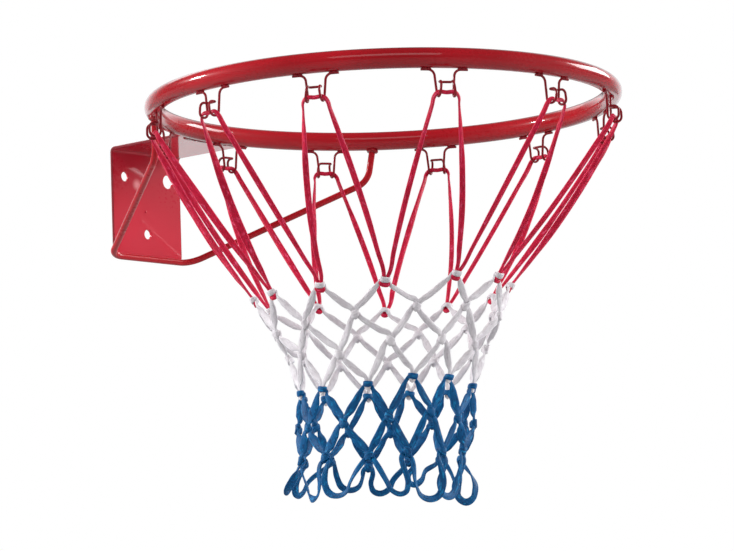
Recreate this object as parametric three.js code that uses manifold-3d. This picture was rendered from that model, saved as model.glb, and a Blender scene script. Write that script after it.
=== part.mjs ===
// A wall-mounted basketball ring: a round tube hoop on a bent sheet bracket, braced by one bent bar,
// with twelve wire hooks that carry a knotted net in red, white and blue.
// Units are millimetres. +Z is up, +Y points into the wall, and the origin is the centre of the
// wall plate's back face. Angles round the ring are degrees from the wall, anticlockwise from above.
import * as THREE from "three";
import { mergeVertices } from "three/addons/utils/BufferGeometryUtils.js";
import Module from "manifold-3d";

const wasm = await Module();
wasm.setup();

// Clearances
const seatGap = 0.3; // between two pieces that touch
const overrun = 2; // how far a cutter runs past what it cuts
const flatness = 0.1; // facets of a joined knot that differ by less become one

// Facets
const ringSegments = 72; // round the hoop
const tubeSides = 12; // round its tube
const seatFineness = 2; // how many times finer the copy of the tube is that saddles the welds
const trimSegments = 180; // round the arcs that follow the hoop on the bracket
const holeSegments = 24;
const bendFacets = 6; // in a bend or corner of the sheet
const rodSides = 10;
const rodFacets = 5; // in a bend of the strut
const beadSides = 14;
const wireSides = 6;
const wireFacets = 2; // in a bend of a hook
const steepShare = 0.9; // a bar whose first stretch rises by more than this share starts from the X axis

// Ring: round steel tube rolled into a hoop and butt-welded
const ringInnerDiameter = 450;
const tubeDiameter = 20;
const wallToRingCentre = 350;

// Bracket: one strip of sheet steel, bent once into a wall plate and a flange
const sheet = 3;
const plateWidth = 103;
const plateHeight = 120;
const bendInside = 3; // inside radius of the bend
const plateCorner = 7; // radius of the plate's two lower corners
const flangeDrop = 3; // the flange's top face, below the tube's centre plane
const screwHole = 10.5;
const wideHole = 15; // the upper right hole, drilled larger
const upperHoleInset = 18.5; // from the plate's side to the upper holes
const upperHoleDrop = 31; // from the flange's top face to the upper holes
const lowerHoleRise = 28; // from the plate's foot to the lower hole

// Strut: one round bar that crosses the plate's foot and rises to the ring on both sides. Its corners
// are where its straight stretches would meet.
const rod = 7;
const rodFootWidth = 120; // between the corners at the plate's foot
const rodFootBend = 26; // centreline radius there
const rodHeadDrops = [40.5, 35]; // from the tube's underside to the corners under it, left and right
const rodHeadBend = 23; // centreline radius there
const rodAngle = 45.6; // from the wall to each end, round the ring
const rodLean = 1.5; // how much nearer the wall each of those corners is

// Fillet welds
const weldLeg = 3.5;
const weldToeShare = 0.25; // thickness of the bead at its thin end, as a share of its leg
const weldThroatShare = 0.5; // and halfway, which makes its face hollow

// Hooks: bent wire with two feet under the tube, a trough for the net's cord and a closing top bar
const hookCount = 12;
const hookPhase = -3.7; // angle of the hook nearest the wall
// How far each hook strays from its even place round the ring, in degrees
const hookStrays = [0, 0, -0.2, -0.4, -1.1, -0.6, -0.5, 0, 0.3, 0.8, 1.1, 0.7];
const wire = 2.5;
const footLength = 6.5; // straight part of each foot
const footBend = 6.5;
const legSpread = 20.8; // between the legs, where they leave the feet
const hookDepth = 28.5; // from the tube's underside to the lowest centreline
const troughSpread = 15.6; // between the two troughs
const troughWidth = 11; // between a leg and its riser
const barDrop = 14; // from the tube's underside to the top bar
const barSpread = 12; // length of the top bar
const barInset = 9.5; // from the risers back to the top bar
const lipBend = 5.2;
const barBend = 2.2;
const troughBendShare = 0.48; // centreline radius of the trough's corners, as a share of its width

// Net: flat braided cord
const cordWidth = 5;
const cordThickness = 2;
const netDrop = 399; // from the ring's centre plane to the hem
const netLean = -17; // how far the hem hangs to one side of the ring's axis
const collarHeight = 6.4; // the band that a knot puts round the two legs of the cord above
const collarWall = 1.7;
const legGap = 0.6; // between the two legs inside a collar
const legShare = 0.62; // width of a leg inside a collar, as a share of the cord's width
const bightSpan = 5.8; // the bight under a collar, between its two bends
const bightDrop = 2.7; // from a collar down to the bight's centreline
const bightShare = 0.7; // width of the bight, as a share of the cord's width
const hemSpan = 8; // half the width of a hem loop where its round part starts
const flareDrop = 10; // below the hooks' troughs, where the cord has turned to hang straight
const flareSpread = 5; // how far outside the wire it hangs there
const longShares = [0.45, 0.9]; // stations along the long strands under the hooks
const meshShares = [0.8]; // station along a strand that enters a slotted collar

// The rows of knots from the top: drop as a share of netDrop, radius as a share of the ring's.
// Each row lies half a pitch round from the one above.
const rowDropShares = [0.507, 0.571, 0.643, 0.743, 0.834, 0.92];
const rowRadiusShares = [0.55, 0.475, 0.425, 0.375, 0.37, 0.35];
const hemRadiusShare = 0.36;
const tiltShares = [0.03, -0.034]; // how far the rows rise along X and along Y

// Worked out from the values above
const tubeRadius = tubeDiameter / 2;
const ringRadius = ringInnerDiameter / 2 + tubeRadius;
const ringY = -wallToRingCentre;
const ringZ = plateHeight / 2 + flangeDrop;
const pitch = 360 / hookCount;

// Finishes
const finish = (color, roughness) => new THREE.MeshStandardMaterial({ color, roughness, metalness: 0 });
const ringPaint = finish(0xc0202c, 0.25);
const bracketPaint = finish(0xc8202e, 0.28);
const barPaint = finish(0xb81e2a, 0.28);
const wirePaint = finish(0x7c1620, 0.35);
const weldPaint = finish(0xa81c28, 0.4);
const redCord = finish(0xc4213e, 0.6);
const whiteCord = finish(0xdcd9d8, 0.6);
const blueCord = finish(0x1b4f88, 0.6);

const vector = (x, y, z) => new THREE.Vector3(x, y, z);

// Unit directions at an angle round the ring: away from its axis, and onwards round it.
const away = (angle) => {
  const turn = THREE.MathUtils.degToRad(angle);
  return vector(-Math.sin(turn), Math.cos(turn), 0);
};
const onwards = (angle) => away(angle + 90);
const up = vector(0, 0, 1);

// A closed geometry as a solid, and a solid back as a geometry.
function solid(geometry) {
  const bare = geometry.clone();
  bare.deleteAttribute("normal");
  bare.deleteAttribute("uv");
  const merged = mergeVertices(bare);
  return new wasm.Manifold(
    new wasm.Mesh({
      numProp: 3,
      vertProperties: merged.attributes.position.array,
      triVerts: new Uint32Array(merged.index.array),
    }),
  );
}

function geometryOf(body) {
  const mesh = body.getMesh();
  const geometry = new THREE.BufferGeometry();
  geometry.setAttribute("position", new THREE.BufferAttribute(mesh.vertProperties, 3));
  geometry.setIndex(new THREE.BufferAttribute(mesh.triVerts, 1));
  return geometry;
}

function join(geometries) {
  const whole = geometries.map(solid).reduce((rest, next) => rest.add(next));
  return whole.asOriginal().simplify(flatness);
}
const cut = (body, cutters) => cutters.map(solid).reduce((rest, cutter) => rest.subtract(cutter), body);

// A closed surface through rings of points, one ring for each station of a sweep.
function skin(rings, closed) {
  const sides = rings[0].length;
  const index = [];
  const last = rings.length - 1;
  for (let r = 0; r < (closed ? rings.length : last); r++) {
    const here = r * sides;
    const next = ((r + 1) % rings.length) * sides;
    for (let s = 0; s < sides; s++) {
      const t = (s + 1) % sides;
      index.push(here + s, here + t, next + t, here + s, next + t, next + s);
    }
  }
  for (let s = 1; s < sides - 1 && !closed; s++) {
    const end = last * sides;
    index.push(0, s + 1, s, end, end + s, end + s + 1);
  }
  const geometry = new THREE.BufferGeometry();
  const position = rings.flat().flatMap((point) => point.toArray());
  geometry.setAttribute("position", new THREE.Float32BufferAttribute(position, 3));
  geometry.setIndex(index);
  return geometry;
}

// The direction of travel at each station: halfway between the stretches before and after it.
function travelOf(stations, closed) {
  const count = stations.length;
  return stations.map((station, i) => {
    const before = stations[closed ? (i + count - 1) % count : Math.max(i - 1, 0)];
    const after = stations[closed ? (i + 1) % count : Math.min(i + 1, count - 1)];
    return station.clone().sub(before).normalize().add(after.clone().sub(station).normalize()).normalize();
  });
}

// Stations along straight stretches whose corners are rounded, each in the given number of facets.
function bentLine(corners) {
  const stations = [corners[0].at];
  for (let i = 1; i < corners.length - 1; i++) {
    const { at, radius, facets } = corners[i];
    const back = corners[i - 1].at.clone().sub(at).normalize();
    const ahead = corners[i + 1].at.clone().sub(at).normalize();
    const half = back.angleTo(ahead) / 2;
    const centre = back.clone().add(ahead).normalize().multiplyScalar(radius / Math.sin(half));
    const spoke = back.clone().multiplyScalar(radius / Math.tan(half)).sub(centre);
    const axis = back.clone().cross(spoke).normalize();
    for (let facet = 0; facet <= facets; facet++) {
      const turned = spoke.clone().applyAxisAngle(axis, ((Math.PI - 2 * half) * facet) / facets);
      stations.push(turned.add(centre).add(at));
    }
  }
  stations.push(corners[corners.length - 1].at);
  return stations;
}

// A round bar or wire along stations, its section carried along without twist.
function roundBar(stations, diameter, sides) {
  const travel = travelOf(stations, false);
  const start = Math.abs(travel[0].z) < steepShare ? up : vector(1, 0, 0);
  let side = travel[0].clone().cross(start);
  const rings = stations.map((station, i) => {
    side = side.clone().addScaledVector(travel[i], -side.dot(travel[i])).normalize();
    const rise = travel[i].clone().cross(side);
    return Array.from({ length: sides }, (_, s) => {
      const turn = (2 * Math.PI * (s + 0.5)) / sides;
      const across = side.clone().multiplyScalar(Math.cos(turn)).addScaledVector(rise, Math.sin(turn));
      return station.clone().addScaledVector(across, diameter / 2);
    });
  });
  return skin(rings, false);
}

// A closed loop of flat cord. Each station says where the cord is, which way is out from the net's
// axis, how wide and thick the cord is, and how far it is twisted: 0 lies flat in the net's surface,
// and 1 lies across it.
function flatCord(stations) {
  const travel = travelOf(stations.map((station) => station.at), true);
  const cornerShares = [
    [1, 1],
    [-1, 1],
    [-1, -1],
    [1, -1],
  ];
  const rings = stations.map(({ at, out, width, thickness, twist }, i) => {
    const across = out.clone().cross(travel[i]).normalize();
    across.applyAxisAngle(travel[i], (twist * Math.PI) / 2);
    const face = travel[i].clone().cross(across);
    return cornerShares.map(([a, b]) =>
      at
        .clone()
        .addScaledVector(across, (a * width) / 2)
        .addScaledVector(face, (b * thickness) / 2),
    );
  });
  return skin(rings, true);
}

// The ring, and a fatter copy that cuts what is seated on it.
const hoop = (radius, sides, segments) =>
  new THREE.TorusGeometry(ringRadius, radius, sides, segments).translate(0, ringY, ringZ);

function ring() {
  return hoop(tubeRadius, tubeSides, ringSegments);
}

// The bracket: an L-shaped strip, trimmed to the tube, with its corners rounded and its holes cut.
function bracket() {
  const top = plateHeight / 2;
  const bend = bendInside + sheet;
  const profile = new THREE.Shape();
  profile.moveTo(0, -top);
  profile.lineTo(0, top - bend);
  profile.absarc(-bend, top - bend, bend, 0, Math.PI / 2, false);
  profile.lineTo(ringY, top);
  profile.lineTo(ringY, top - sheet);
  profile.lineTo(-bend, top - sheet);
  profile.absarc(-bend, top - bend, bendInside, Math.PI / 2, 0, true);
  profile.lineTo(-sheet, -top);
  const strip = new THREE.ExtrudeGeometry(profile, {
    depth: plateWidth,
    bevelEnabled: false,
    curveSegments: bendFacets,
  });
  strip.applyMatrix4(new THREE.Matrix4().makeBasis(vector(0, 1, 0), up, vector(1, 0, 0)));
  strip.translate(-plateWidth / 2, 0, 0);

  const front = ringRadius + tubeRadius + seatGap;
  const trim = new THREE.CylinderGeometry(front, front, 2 * plateHeight, trimSegments)
    .rotateX(Math.PI / 2)
    .translate(0, ringY, ringZ);

  const through = 2 * (sheet + overrun);
  const hole = (diameter, x, z) =>
    new THREE.CylinderGeometry(diameter / 2, diameter / 2, through, holeSegments).translate(x, 0, z);
  const sideX = plateWidth / 2 - upperHoleInset;
  const holes = [
    hole(screwHole, -sideX, top - upperHoleDrop),
    hole(wideHole, sideX, top - upperHoleDrop),
    hole(screwHole, 0, lowerHoleRise - top),
  ];

  const corners = [-1, 1].map((side) => {
    const edge = (side * plateWidth) / 2;
    const waste = new THREE.Shape();
    waste.moveTo(edge - side * plateCorner, -top);
    waste.absarc(
      edge - side * plateCorner,
      plateCorner - top,
      plateCorner,
      -Math.PI / 2,
      side > 0 ? 0 : -Math.PI,
      side < 0,
    );
    waste.lineTo(edge + side * overrun, plateCorner - top);
    waste.lineTo(edge + side * overrun, -top - overrun);
    waste.lineTo(edge - side * plateCorner, -top - overrun);
    const options = { depth: through, bevelEnabled: false, curveSegments: bendFacets };
    return new THREE.ExtrudeGeometry(waste, options)
      .rotateX(Math.PI / 2)
      .translate(0, through / 2, 0);
  });
  return geometryOf(cut(solid(strip), [trim, ...holes, ...corners]));
}

// The strut's path, from inside the ring's tube on one side to inside it on the other.
function strutCorners() {
  const onRing = (angle, drop) => away(angle).multiplyScalar(ringRadius).add(vector(0, ringY, ringZ - drop));
  const half = (side) => {
    const end = onRing(side * rodAngle, tubeRadius);
    const drop = rodHeadDrops[side > 0 ? 0 : 1];
    const head = onRing(side * (rodAngle - rodLean), tubeRadius + drop);
    const foot = vector((-side * rodFootWidth) / 2, -(sheet + seatGap + rod / 2), -plateHeight / 2);
    const past = end.clone().sub(head).setLength(tubeRadius / 2).add(end);
    return [
      { at: past },
      { at: head, radius: rodHeadBend, facets: rodFacets },
      { at: foot, radius: rodFootBend, facets: rodFacets },
    ];
  };
  return [...half(1), ...half(-1).reverse()];
}

// The ring's tube with its clearance, which saddles what is welded under it.
const saddle = () => hoop(tubeRadius + seatGap, seatFineness * tubeSides, seatFineness * ringSegments);

function strut() {
  const bar = roundBar(bentLine(strutCorners()), rod, rodSides);
  return geometryOf(cut(solid(bar), [saddle()]));
}

// A fillet weld round an end of the strut, hollowed out for the bar and saddled to the tube.
function strutWeld(first) {
  const corners = strutCorners();
  const [past, head] = (first ? corners : corners.reverse()).map((corner) => corner.at);
  const axis = past.clone().sub(head).normalize();
  const inner = rod / 2 + seatGap;
  const outer = inner + weldLeg;
  const foot = -(tubeRadius / 2 + seatGap + weldLeg);
  const section = [
    new THREE.Vector2(inner, foot),
    new THREE.Vector2(inner + weldToeShare * weldLeg, foot),
    new THREE.Vector2(inner + weldThroatShare * weldLeg, foot + weldThroatShare * weldLeg),
    new THREE.Vector2(outer, foot + weldLeg),
    new THREE.Vector2(outer, 0),
    new THREE.Vector2(inner, 0),
    new THREE.Vector2(inner, foot),
  ];
  const bead = new THREE.LatheGeometry(section, beadSides)
    .applyQuaternion(new THREE.Quaternion().setFromUnitVectors(vector(0, 1, 0), axis))
    .translate(past.x, past.y, past.z);
  return geometryOf(cut(solid(bead), [saddle()]));
}

// The fillet weld under the flange, along its front edge.
function flangeWeld() {
  const underside = ringZ - flangeDrop - sheet - seatGap;
  const root = ringRadius + tubeRadius;
  const section = [
    new THREE.Vector2(root + weldLeg, underside),
    new THREE.Vector2(root - tubeRadius / 2, underside),
    new THREE.Vector2(root - tubeRadius / 2, underside - weldLeg),
    new THREE.Vector2(root + weldLeg, underside),
  ];
  const bead = new THREE.LatheGeometry(section, trimSegments).rotateX(Math.PI / 2).translate(0, ringY, 0);
  const keep = new THREE.BoxGeometry(plateWidth - 2 * weldLeg, wallToRingCentre, plateHeight);
  keep.translate(0, ringY / 2, ringZ);
  return geometryOf(cut(solid(bead).intersect(solid(keep)), [saddle()]));
}

// A point near the hook at an angle: u onwards round the ring, w away from its axis, z above the
// ring's centre plane.
function nearRing(angle, u, w, z) {
  return away(angle)
    .multiplyScalar(ringRadius + w)
    .addScaledVector(onwards(angle), u)
    .add(vector(0, ringY, ringZ + z));
}

// One hook. Half of it is drawn from the foot to the middle of the top bar, then mirrored.
function hook(angle) {
  const leg = legSpread / 2;
  const bar = barSpread / 2;
  const footZ = -(tubeRadius + seatGap + wire / 2);
  const lowZ = -(tubeRadius + hookDepth);
  const barZ = -(tubeRadius + barDrop);
  const troughBend = troughBendShare * troughWidth;
  const trough = troughSpread / 2;
  const half = (side) => [
    { at: nearRing(angle, side * (leg + footBend + footLength), 0, footZ) },
    { at: nearRing(angle, side * leg, 0, footZ), radius: footBend, facets: wireFacets },
    { at: nearRing(angle, side * trough, 0, lowZ), radius: troughBend, facets: wireFacets },
    { at: nearRing(angle, side * trough, troughWidth, lowZ), radius: troughBend, facets: wireFacets },
    { at: nearRing(angle, side * bar, troughWidth, barZ), radius: lipBend, facets: wireFacets },
    { at: nearRing(angle, side * bar, troughWidth - barInset, barZ), radius: barBend, facets: 1 },
  ];
  return roundBar(bentLine([...half(-1), ...half(1).reverse()]), wire, wireSides);
}

// The net's cord lies in the hooks' troughs, just clear of the wire.
const troughFloor = (troughWidth / 2) * Math.cos(Math.PI / 4 / wireFacets) - wire / 2;
const cordSag = Math.sqrt(troughFloor ** 2 - (cordWidth / 2) ** 2);
const cordDrop = tubeRadius + hookDepth - troughWidth / 2 + cordSag - seatGap - cordThickness / 2;

// Where a row hangs. Row -1 is the cord in the hooks, and the row after the last knots is the hem.
function row(number) {
  const angle = hookPhase + (number % 2 === 0 ? pitch / 2 : 0);
  if (number < 0) return { angle, radius: ringRadius + troughWidth / 2, drop: cordDrop };
  if (number === rowDropShares.length) return { angle, radius: ringRadius * hemRadiusShare, drop: netDrop };
  return { angle, radius: ringRadius * rowRadiusShares[number], drop: netDrop * rowDropShares[number] };
}

// A place in a row at an angle. u runs onwards round the net, k up and w away from its axis.
function onNet(number, angle, u = 0, k = 0, w = 0) {
  const { radius, drop } = row(number);
  const lean = (netLean * (drop - cordDrop)) / (netDrop - cordDrop);
  const askew = Math.min(1, (drop - cordDrop) / (row(0).drop - cordDrop));
  const place = away(angle).multiplyScalar(radius);
  const rise = askew * (tiltShares[0] * place.x + tiltShares[1] * place.y);
  return place
    .addScaledVector(onwards(angle), u)
    .addScaledVector(away(angle), w)
    .add(vector(lean, ringY, ringZ - drop + rise + k));
}

// Something made once for each hook, given how far round it is.
const allRound = (make) => Array.from({ length: hookCount }, (_, i) => make(i * pitch, i));

// Sizes that follow the cord: its legs inside a collar, and the collar round them.
const legWidth = legShare * cordWidth;
const legU = (legGap + legWidth) / 2;
const bightWidth = bightShare * cordWidth;
const slotWidth = 2 * legWidth + legGap + 2 * seatGap;
const slotDepth = cordThickness + 2 * seatGap;
const collarWidth = slotWidth + 2 * collarWall;
const collarDepth = slotDepth + 2 * collarWall;
const legReach = collarHeight / 2 + seatGap;

// A station of cord in a row at an angle, lying flat in the net's surface.
function cordAt(number, angle, [u, k, w = 0], width = cordWidth, thickness = cordThickness) {
  return { at: onNet(number, angle, u, k, w), out: away(angle), width, thickness, twist: 0 };
}

// How a cord passes the hooks: along the troughs, then down outside the wire on both sides.
function overHook(number, angle) {
  const edge = (troughSpread + wire) / 2;
  const side = (sign) => [
    cordAt(number, angle, [sign * (edge + flareSpread), -flareDrop]),
    cordAt(number, angle, [sign * (edge + flareSpread / 2), -cordWidth / 2]),
    cordAt(number, angle, [sign * edge, 0]),
  ];
  return [...side(-1), ...side(1).reverse()].map((station) => ({ ...station, twist: 1 }));
}

// How a cord passes a knot of another colour: inside the back wall of its own collar.
function behindKnot(number, angle) {
  const w = -(slotDepth + collarWall) / 2;
  const u = (collarWidth + cordThickness) / 2;
  return [-1, 1].map((sign) => cordAt(number, angle, [sign * u, 0, w], cordWidth, collarWall - 2 * seatGap));
}

// How a cord passes a knot of its own colour: swollen to the band and the bight under it.
function asKnot(number, angle) {
  const u = collarWidth / 2;
  const side = (sign) => [
    cordAt(number, angle, [sign * (u + cordThickness / 2), -cordThickness / 2]),
    cordAt(number, angle, [sign * u, 0], collarHeight, collarDepth),
    cordAt(number, angle, [(sign * bightSpan) / 2, -bightDrop], collarHeight + 2 * bightDrop, collarDepth),
  ];
  return [...side(-1), ...side(1).reverse()];
}

// How a cord goes through the collar below it: two legs side by side, and the bight under them.
function throughKnot(number, angle) {
  const side = (sign) => [
    cordAt(number, angle, [sign * legU, legReach], legWidth),
    cordAt(number, angle, [sign * legU, -legReach], legWidth),
    cordAt(number, angle, [(sign * bightSpan) / 2, -(collarHeight / 2 + bightDrop)], bightWidth),
  ];
  return [...side(-1), ...side(1).reverse()];
}

// How a cord ends at the knot below it where the two are one solid.
function intoKnot(number, angle) {
  return [cordAt(number, angle, [0, 0])];
}

// How a cord turns at the hem: in a round loop.
function roundHem(number, angle) {
  const side = (sign) => [
    cordAt(number, angle, [sign * hemSpan, hemSpan + cordWidth / 2]),
    cordAt(number, angle, [(sign * hemSpan) / 2, cordWidth / 2]),
  ];
  return [...side(-1), ...side(1).reverse()];
}

// Points of a straight strand between two stations, at shares of the way.
function strand(from, to, shares) {
  return shares.map((share) => ({
    at: from.at.clone().lerp(to.at, share),
    out: from.out.clone().lerp(to.out, share).normalize(),
    width: cordWidth,
    thickness: cordThickness,
    twist: from.twist + share * (to.twist - from.twist),
  }));
}

// One course of the net: a closed loop of cord that zigzags between a row and the row below.
function course(top, shares, overTop, underBottom) {
  const turns = allRound((turn, i) => {
    const angle = row(top).angle + turn;
    const stray = top < 0 ? hookStrays[i] : 0;
    return [overTop(top, angle + stray), underBottom(top + 1, angle + pitch / 2)];
  }).flat();
  return flatCord(
    turns.flatMap((turn, i) => {
      const next = turns[(i + 1) % turns.length];
      const along = i % 2 === 0 ? shares : shares.map((share) => 1 - share).reverse();
      return [...turn, ...strand(turn[turn.length - 1], next[0], along)];
    }),
  );
}

// The band of a knot, with a slot for the legs of the cord above, which is another colour.
function collar(number, angle) {
  const box = (width, height, depth) => {
    const place = onNet(number, angle);
    return new THREE.BoxGeometry(width, depth, height)
      .applyMatrix4(new THREE.Matrix4().makeBasis(onwards(angle), away(angle).negate(), up))
      .translate(place.x, place.y, place.z);
  };
  const band = solid(box(collarWidth, collarHeight, collarDepth));
  return geometryOf(cut(band, [box(slotWidth, collarHeight + 2 * overrun, slotDepth)]));
}

const collars = (number) => allRound((turn) => collar(number, row(number).angle + turn));

function redNet() {
  return course(-1, longShares, overHook, throughKnot);
}

function whiteNet() {
  return geometryOf(
    join([
      course(0, [], behindKnot, intoKnot),
      course(1, [], asKnot, intoKnot),
      course(2, meshShares, asKnot, throughKnot),
      ...collars(0),
    ]),
  );
}

function blueNet() {
  return geometryOf(
    join([
      course(3, [], behindKnot, intoKnot),
      course(4, [], asKnot, intoKnot),
      course(5, [], asKnot, roundHem),
      ...collars(3),
    ]),
  );
}

const group = new THREE.Group();
function add(name, geometry, material) {
  const mesh = new THREE.Mesh(geometry, material);
  mesh.name = name;
  group.add(mesh);
}

add("ring", ring(), ringPaint);
add("bracket", bracket(), bracketPaint);
add("strut", strut(), barPaint);
add("strut_weld_left", strutWeld(true), weldPaint);
add("strut_weld_right", strutWeld(false), weldPaint);
add("flange_weld", flangeWeld(), weldPaint);
for (let i = 0; i < hookCount; i++) {
  const number = String(i + 1).padStart(2, "0");
  add(`hook_${number}`, hook(hookPhase + i * pitch + hookStrays[i]), wirePaint);
}
add("net_red", redNet(), redCord);
add("net_white", whiteNet(), whiteCord);
add("net_blue", blueNet(), blueCord);

export default group;
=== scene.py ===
import math
import random

import bpy
from mathutils import Matrix, Vector


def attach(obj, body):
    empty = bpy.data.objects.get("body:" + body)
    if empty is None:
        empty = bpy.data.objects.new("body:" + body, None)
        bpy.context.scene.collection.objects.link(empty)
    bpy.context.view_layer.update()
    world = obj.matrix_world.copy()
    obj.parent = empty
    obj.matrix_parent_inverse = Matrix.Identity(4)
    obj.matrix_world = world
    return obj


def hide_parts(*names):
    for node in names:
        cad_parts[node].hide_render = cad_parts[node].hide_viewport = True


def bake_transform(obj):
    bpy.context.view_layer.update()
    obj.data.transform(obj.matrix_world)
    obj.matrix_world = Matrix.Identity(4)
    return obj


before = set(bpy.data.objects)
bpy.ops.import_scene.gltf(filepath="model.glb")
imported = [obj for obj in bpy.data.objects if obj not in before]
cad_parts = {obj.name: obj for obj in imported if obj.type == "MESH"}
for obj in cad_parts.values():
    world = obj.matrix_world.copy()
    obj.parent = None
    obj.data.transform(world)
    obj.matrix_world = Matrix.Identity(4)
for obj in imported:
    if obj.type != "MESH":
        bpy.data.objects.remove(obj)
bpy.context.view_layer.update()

# Camera: low in front of the ring and to its left, looking up past it, as the photograph was taken.
camera_heading = math.radians(-48.608)
camera_tilt = math.radians(97.39)
camera_roll = math.radians(-2.05)
camera_turn = (
    Matrix.Rotation(camera_heading, 3, "Z")
    @ Matrix.Rotation(camera_tilt, 3, "X")
    @ Matrix.Rotation(camera_roll, 3, "Z")
)
bpy.ops.object.camera_add(location=(-2.5516, -2.5682, -0.554), rotation=camera_turn.to_euler())
camera = bpy.context.object
camera.name = "camera"
camera.data.sensor_width = 36
camera.data.lens = 163.81
camera.data.clip_start = 0.05
camera.data.clip_end = 60
bpy.context.scene.camera = camera
bpy.context.scene.view_settings.view_transform = "Standard"

# Bracket: one strip of 3 mm sheet steel, cut, drilled and bent once into a wall plate and a flange,
# then painted glossy red. The flange's front edge is cut to the ring's curve and welded to it.
sheet = 0.003
plate_width = 0.103
plate_height = 0.120
plate_top = plate_height / 2
ring_axis_y = -0.350
ring_level = 0.063
ring_radius = 0.235
tube_radius = 0.010
fit_gap = 0.0003


def pick_nothing():
    """Closes any open piece and leaves nothing picked, so that the next step has its own piece."""
    if bpy.context.mode != "OBJECT":
        bpy.ops.object.mode_set(mode="OBJECT")
    bpy.ops.object.select_all(action="DESELECT")


def take(piece):
    """Picks one piece alone and makes it the active one."""
    pick_nothing()
    piece.select_set(True)
    bpy.context.view_layer.objects.active = piece


def start_piece(name, add, **how):
    """Adds a primitive under its piece's name and opens it for editing, picked all over."""
    pick_nothing()
    add(**how)
    piece = bpy.context.object
    piece.name = name
    piece.data.name = name
    bpy.ops.object.transform_apply(location=True, rotation=True, scale=True)
    bpy.ops.object.mode_set(mode="EDIT")
    bpy.ops.mesh.select_all(action="SELECT")
    return piece


def close_up():
    """Merges the doubled points of the open piece and turns all its faces outward."""
    bpy.ops.mesh.select_all(action="SELECT")
    bpy.ops.mesh.remove_doubles(threshold=0.00001)
    bpy.ops.mesh.normals_make_consistent(inside=False)


def pick(piece, edges=None, points=None):
    """Picks the edges or points of an open piece whose place passes a test."""
    bpy.ops.mesh.select_mode(type="VERT" if points else "EDGE")
    bpy.ops.mesh.select_all(action="DESELECT")
    bpy.ops.object.mode_set(mode="OBJECT")
    mesh = piece.data
    if points:
        for point in mesh.vertices:
            point.select = points(point.co)
    if edges:
        for edge in mesh.edges:
            a, b = (mesh.vertices[v].co for v in edge.vertices)
            edge.select = edges(a, b)
    bpy.ops.object.mode_set(mode="EDIT")


def cut_away(piece, cutter):
    """Cuts one closed piece out of another, as a drill or a cutter does."""
    take(piece)
    bite = piece.modifiers.new("cut", "BOOLEAN")
    bite.operation = "DIFFERENCE"
    bite.solver = "EXACT"
    bite.object = cutter
    bpy.ops.object.modifier_apply(modifier=bite.name)
    bpy.data.objects.remove(cutter)


def join_to(piece, extra):
    """Makes a small extra shape part of a piece's own mesh."""
    take(piece)
    extra.select_set(True)
    bpy.ops.object.join()


def drill(radius, place, turn, depth, sides):
    """A round cutter."""
    pick_nothing()
    bpy.ops.mesh.primitive_cylinder_add(
        vertices=sides, radius=radius, depth=depth, location=place, rotation=turn
    )
    bpy.ops.object.transform_apply(location=True, rotation=True, scale=True)
    return bpy.context.object


def ease_edges(piece, width, segments):
    """Rounds the sharp edges of a finished shape by a hair, as a file and the paint do."""
    take(piece)
    round_over = piece.modifiers.new("eased edges", "BEVEL")
    round_over.width = width
    round_over.segments = segments
    round_over.limit_method = "ANGLE"
    round_over.angle_limit = math.radians(30)
    bpy.ops.object.modifier_apply(modifier=round_over.name)


def smooth(piece, angle=40):
    """Smooth shading, broken at edges sharper than an angle."""
    take(piece)
    bpy.ops.object.shade_smooth_by_angle(angle=math.radians(angle))


def flatten_faces(piece):
    """Lets the large flat faces set the shading at their rounded edges."""
    even = piece.modifiers.new("flat faces", "WEIGHTED_NORMAL")
    even.keep_sharp = True
    even.weight = 100
    bpy.ops.object.modifier_apply(modifier=even.name)


bend_inside = 0.003
bend_outside = bend_inside + sheet
flange_length = -ring_axis_y - ring_radius + tube_radius - bend_outside
foot_corner_radius = 0.007
near_foot = -plate_top + 0.0001
bracket = start_piece(
    "bracket_sheet",
    bpy.ops.mesh.primitive_plane_add,
    size=1,
    location=(0, -sheet / 2, -plate_top),
    rotation=(math.pi, 0, 0),
)
bpy.ops.transform.resize(value=(plate_width, sheet, 1), center_override=(0, -sheet / 2, -plate_top))
bpy.ops.mesh.extrude_region_move(
    TRANSFORM_OT_translate={"value": (0, 0, plate_height - bend_outside)}
)
bpy.ops.mesh.spin(
    steps=12,
    angle=math.pi / 2,
    center=(0, -bend_outside, plate_top - bend_outside),
    axis=(-1, 0, 0),
)
bpy.ops.mesh.extrude_region_move(
    TRANSFORM_OT_translate={"value": (0, -flange_length, 0)}
)
close_up()
pick(bracket, edges=lambda a, b: abs(a.x - b.x) < 1e-5 and a.z < near_foot and b.z < near_foot)
bpy.ops.mesh.bevel(offset=foot_corner_radius, segments=10, affect="EDGES")
pick_nothing()
front_cut_radius = ring_radius + tube_radius + fit_gap
cut_away(bracket, drill(front_cut_radius, (0, ring_axis_y, ring_level), (0, 0, 0), 0.2, 360))
screw_holes = ((0.00525, -0.033, 0.029), (0.0075, 0.033, 0.029), (0.00525, 0, -0.032))
for hole_radius, hole_x, hole_z in screw_holes:
    cut_away(bracket, drill(hole_radius, (hole_x, 0, hole_z), (math.pi / 2, 0, 0), 0.02, 48))
ease_edges(bracket, 0.0005, 3)
spatter_place = (-0.0023, -sheet, -0.0073)
spatter = start_piece(
    "spatter",
    bpy.ops.mesh.primitive_uv_sphere_add,
    segments=16,
    ring_count=10,
    radius=0.0014,
    location=spatter_place,
)
bpy.ops.transform.resize(value=(1, 0.5, 1.1), center_override=spatter_place)
join_to(bracket, spatter)
smooth(bracket)
flatten_faces(bracket)


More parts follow.
